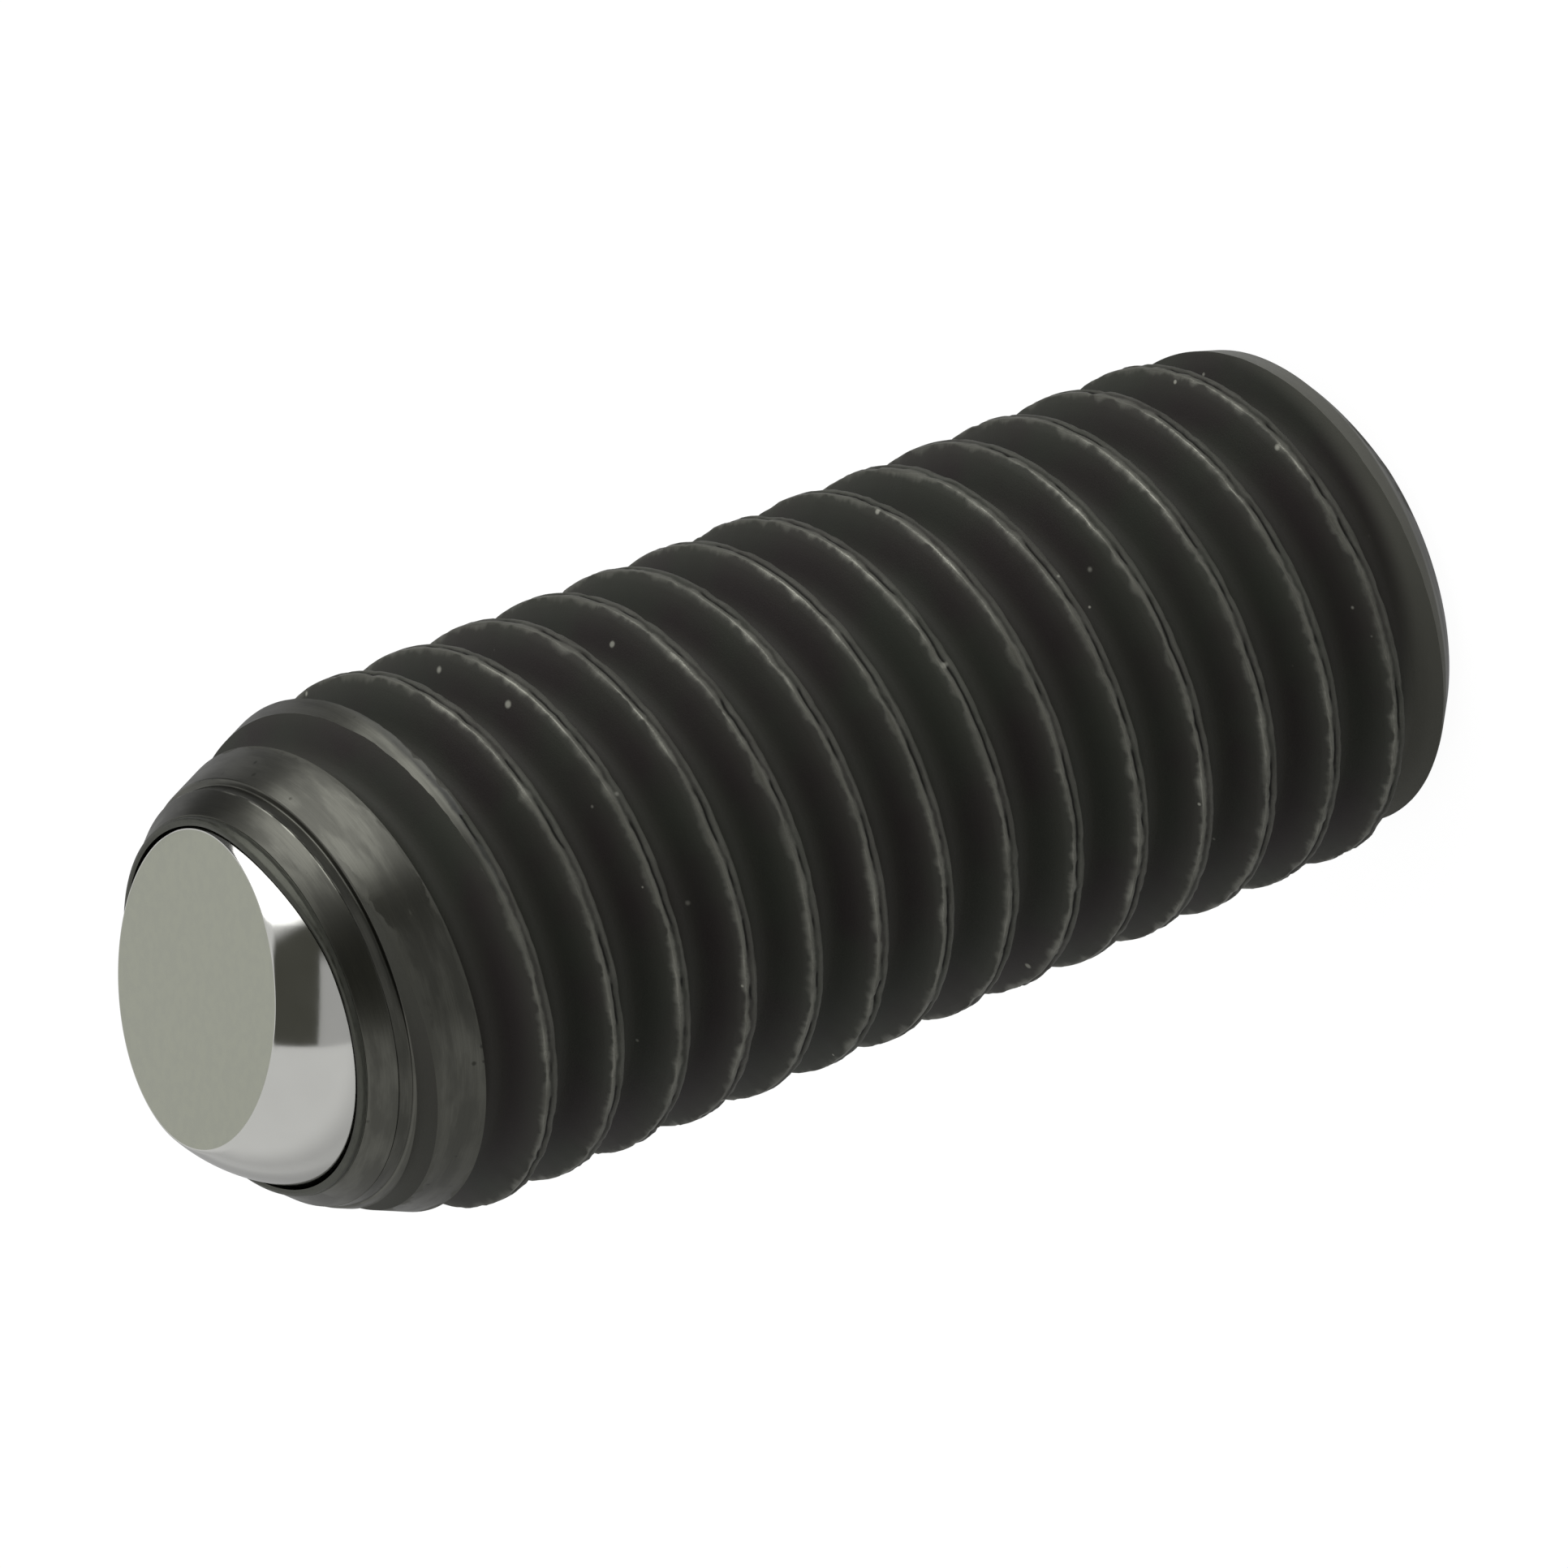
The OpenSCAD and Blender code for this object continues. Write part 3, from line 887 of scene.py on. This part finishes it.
def studio_floor():
    """A pale floor at the socket face. The camera sees it near white, with the screw's soft shadow; reflections see it
    dimmer near the screw, a painted shade on its glow.
    """
    mesh = bpy.data.meshes.new("studio_floor")
    half = 3.0
    corners = [(-half, -half, 0), (half, -half, 0), (half, half, 0), (-half, half, 0)]
    mesh.from_pydata(corners, [], [(0, 1, 2, 3)])
    floor = new_object("studio_floor", mesh)
    material = bpy.data.materials.new("studio_floor")
    material.use_nodes = True
    wire = Wiring(material.node_tree)
    material.node_tree.nodes.clear()
    paths = wire.add("ShaderNodeLightPath").outputs
    reflected = wire.math("MAXIMUM", paths["Is Glossy Ray"], paths["Is Transmission Ray"])
    seen = wire.math("MAXIMUM", paths["Is Camera Ray"], reflected)
    matte = wire.add("ShaderNodeBsdfDiffuse", {"Color": (0.9, 0.9, 0.9, 1)})
    point = wire.add("ShaderNodeTexCoord").outputs["Object"]
    away = wire.add("ShaderNodeVectorMath", {0: point}, operation="LENGTH").outputs["Value"]
    # Painted shade: in reflections the floor glows 0.4 near the screw and 0.65 further out, standing in for the shade
    # near it.
    mirrored = wire.step(away, 0.06, 0.26, 0.4, 0.65)
    glow = wire.step(paths["Is Camera Ray"], 0.0, 1.0, mirrored, 1.12)
    white = wire.add("ShaderNodeEmission", {"Color": (1, 1, 1, 1), "Strength": glow})
    blend = wire.add("ShaderNodeMixShader", {
        0: wire.math("MULTIPLY", seen, 0.85),
        1: matte.outputs[0],
        2: white.outputs[0],
    })
    wire.add("ShaderNodeOutputMaterial", {"Surface": blend.outputs[0]})
    mesh.materials.append(material)


def studio_world():
    """White where the camera sees it, plain soft light elsewhere, and in reflections dimmer near the floor."""
    world = bpy.data.worlds.new("studio")
    bpy.context.scene.world = world
    world.use_nodes = True
    wire = Wiring(world.node_tree)
    world.node_tree.nodes.clear()
    paths = wire.add("ShaderNodeLightPath").outputs
    reflected = wire.math("MAXIMUM", paths["Is Glossy Ray"], paths["Is Transmission Ray"])
    _, _, rise = wire.split(wire.add("ShaderNodeTexCoord").outputs["Generated"])
    mirrored = wire.step(rise, 0.0, 0.28, 0.6, 0.85)
    soft = wire.step(reflected, 0.0, 1.0, 0.5, mirrored)
    strength = wire.step(paths["Is Camera Ray"], 0.0, 1.0, soft, 1.0)
    light = wire.add("ShaderNodeBackground", {"Color": (1, 1, 1, 1), "Strength": strength})
    wire.add("ShaderNodeOutputWorld", {"Surface": light.outputs[0]})


def aim(azimuth, elevation, roll):
    """Across, up and outward for something that faces the screw. Azimuth counts from -Y towards +X."""
    outward = Vector((
        math.sin(azimuth) * math.cos(elevation),
        -math.cos(azimuth) * math.cos(elevation),
        math.sin(elevation),
    ))
    level = Vector((math.cos(azimuth), math.sin(azimuth), 0))
    across = level * math.cos(roll) + outward.cross(level) * math.sin(roll)
    return across, outward.cross(across), outward


def placed(axes, centre, distance):
    """The matrix of a camera or lamp that looks back at centre from a distance along the outward axis."""
    turn = Matrix(axes).transposed().to_4x4()
    return Matrix.Translation(centre + axes[2] * distance) @ turn


def softbox(name, axes, distance, width, height, brightness):
    """A lamp that shows in reflections with the given brightness, where white is 1."""
    data = bpy.data.lights.new(name, "AREA")
    data.shape = "RECTANGLE"
    data.size = width
    data.size_y = height
    data.energy = brightness * math.pi * width * height
    lamp = new_object(name, data)
    lamp.visible_camera = False
    lamp.matrix_world = placed(axes, BALL_CENTRE, distance)


def panel(name, tint, brightness, axes, distance, corners, fade):
    """A screen that only reflections show. Corners are shares of its distance, and its top edge fades out."""
    across, rise, outward = axes
    points = []
    for shift, lift in corners:
        points.append(BALL_CENTRE + (outward + across * shift + rise * lift) * distance)
    mesh = bpy.data.meshes.new(name)
    mesh.from_pydata(points, [], [(0, 1, 2, 3)])
    screen = new_object(name, mesh)
    material = bpy.data.materials.new(name)
    material.use_nodes = True
    wire = Wiring(material.node_tree)
    material.node_tree.nodes.clear()
    over = outward.cross(points[2] - points[3]).normalized()
    top = points[2].dot(over)
    point = wire.add("ShaderNodeTexCoord").outputs["Object"]
    height = wire.add("ShaderNodeVectorMath", {0: point, 1: over}, operation="DOT_PRODUCT").outputs["Value"]
    glow = wire.add("ShaderNodeEmission", {"Color": tint, "Strength": brightness})
    clear = wire.add("ShaderNodeBsdfTransparent")
    blend = wire.add("ShaderNodeMixShader", {
        0: wire.step(height, top - fade * distance, top),
        1: glow.outputs[0],
        2: clear.outputs[0],
    })
    wire.add("ShaderNodeOutputMaterial", {"Surface": blend.outputs[0]})
    mesh.materials.append(material)
    screen.visible_camera = False
    screen.visible_diffuse = False
    screen.visible_shadow = False
    screen.visible_transmission = False


def camera(axes):
    """The camera at the photograph's viewing angle."""
    data = bpy.data.cameras.new("camera")
    data.sensor_width = SENSOR_WIDTH
    data.lens = FOCAL_PIXELS / PHOTO_PIXELS * SENSOR_WIDTH
    data.clip_start = 0.01
    obj = new_object("camera", data)
    obj.matrix_world = placed(axes, CAMERA_TARGET, CAMERA_DISTANCE)
    bpy.context.scene.camera = obj


specks = specks_group()
helix_position = helix_position_group()
crest_wear_and_painted_light = crest_wear_and_painted_light_group(helix_position)
torn_edge_and_glint = torn_edge_and_glint_group(helix_position)
body = screw_body(
    thread_finish(crest_wear_and_painted_light, specks),
    turned_finish(turning_marks_group(), crest_wear_and_painted_light, torn_edge_and_glint, specks),
    socket_finish(specks),
    rolled_finish(),
)
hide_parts("screw_body")
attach(body, "screw")
steel_ball = ball(polished_finish(), ground_finish())
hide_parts("swivel_ball")
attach(steel_ball, "ball")

studio_floor()
studio_world()
camera_axes = aim(0, CAMERA_ELEVATION, CAMERA_ROLL)
camera(camera_axes)
key_axes = aim(math.radians(67), math.radians(12), math.radians(-145))
softbox("key_softbox", key_axes, 0.35, 0.44, 0.35, 1.75)
far_axes = aim(math.radians(122), 0, 0)
white = (1, 1, 1, 1)
olive = (1, 1, 0.84, 1)
dark_corners = [(-2.1, -0.72), (1.0, -0.72), (1.0, 1.62), (-2.1, -0.64)]
panel("dark_screen", olive, 0.08, camera_axes, 0.32, dark_corners, 0.26)
grey_corners = [(0.17, -0.74), (0.62, -0.74), (0.62, 0.4), (0.17, 0.4)]
panel("grey_screen", white, 0.55, camera_axes, 0.3, grey_corners, 0.25)
far_corners = [(-0.4, -0.08), (0.4, -0.08), (0.4, 0.5), (-0.4, 0.5)]
panel("far_screen", white, 0.1, far_axes, 0.3, far_corners, 0.1)
bpy.context.scene.view_settings.view_transform = "Standard"
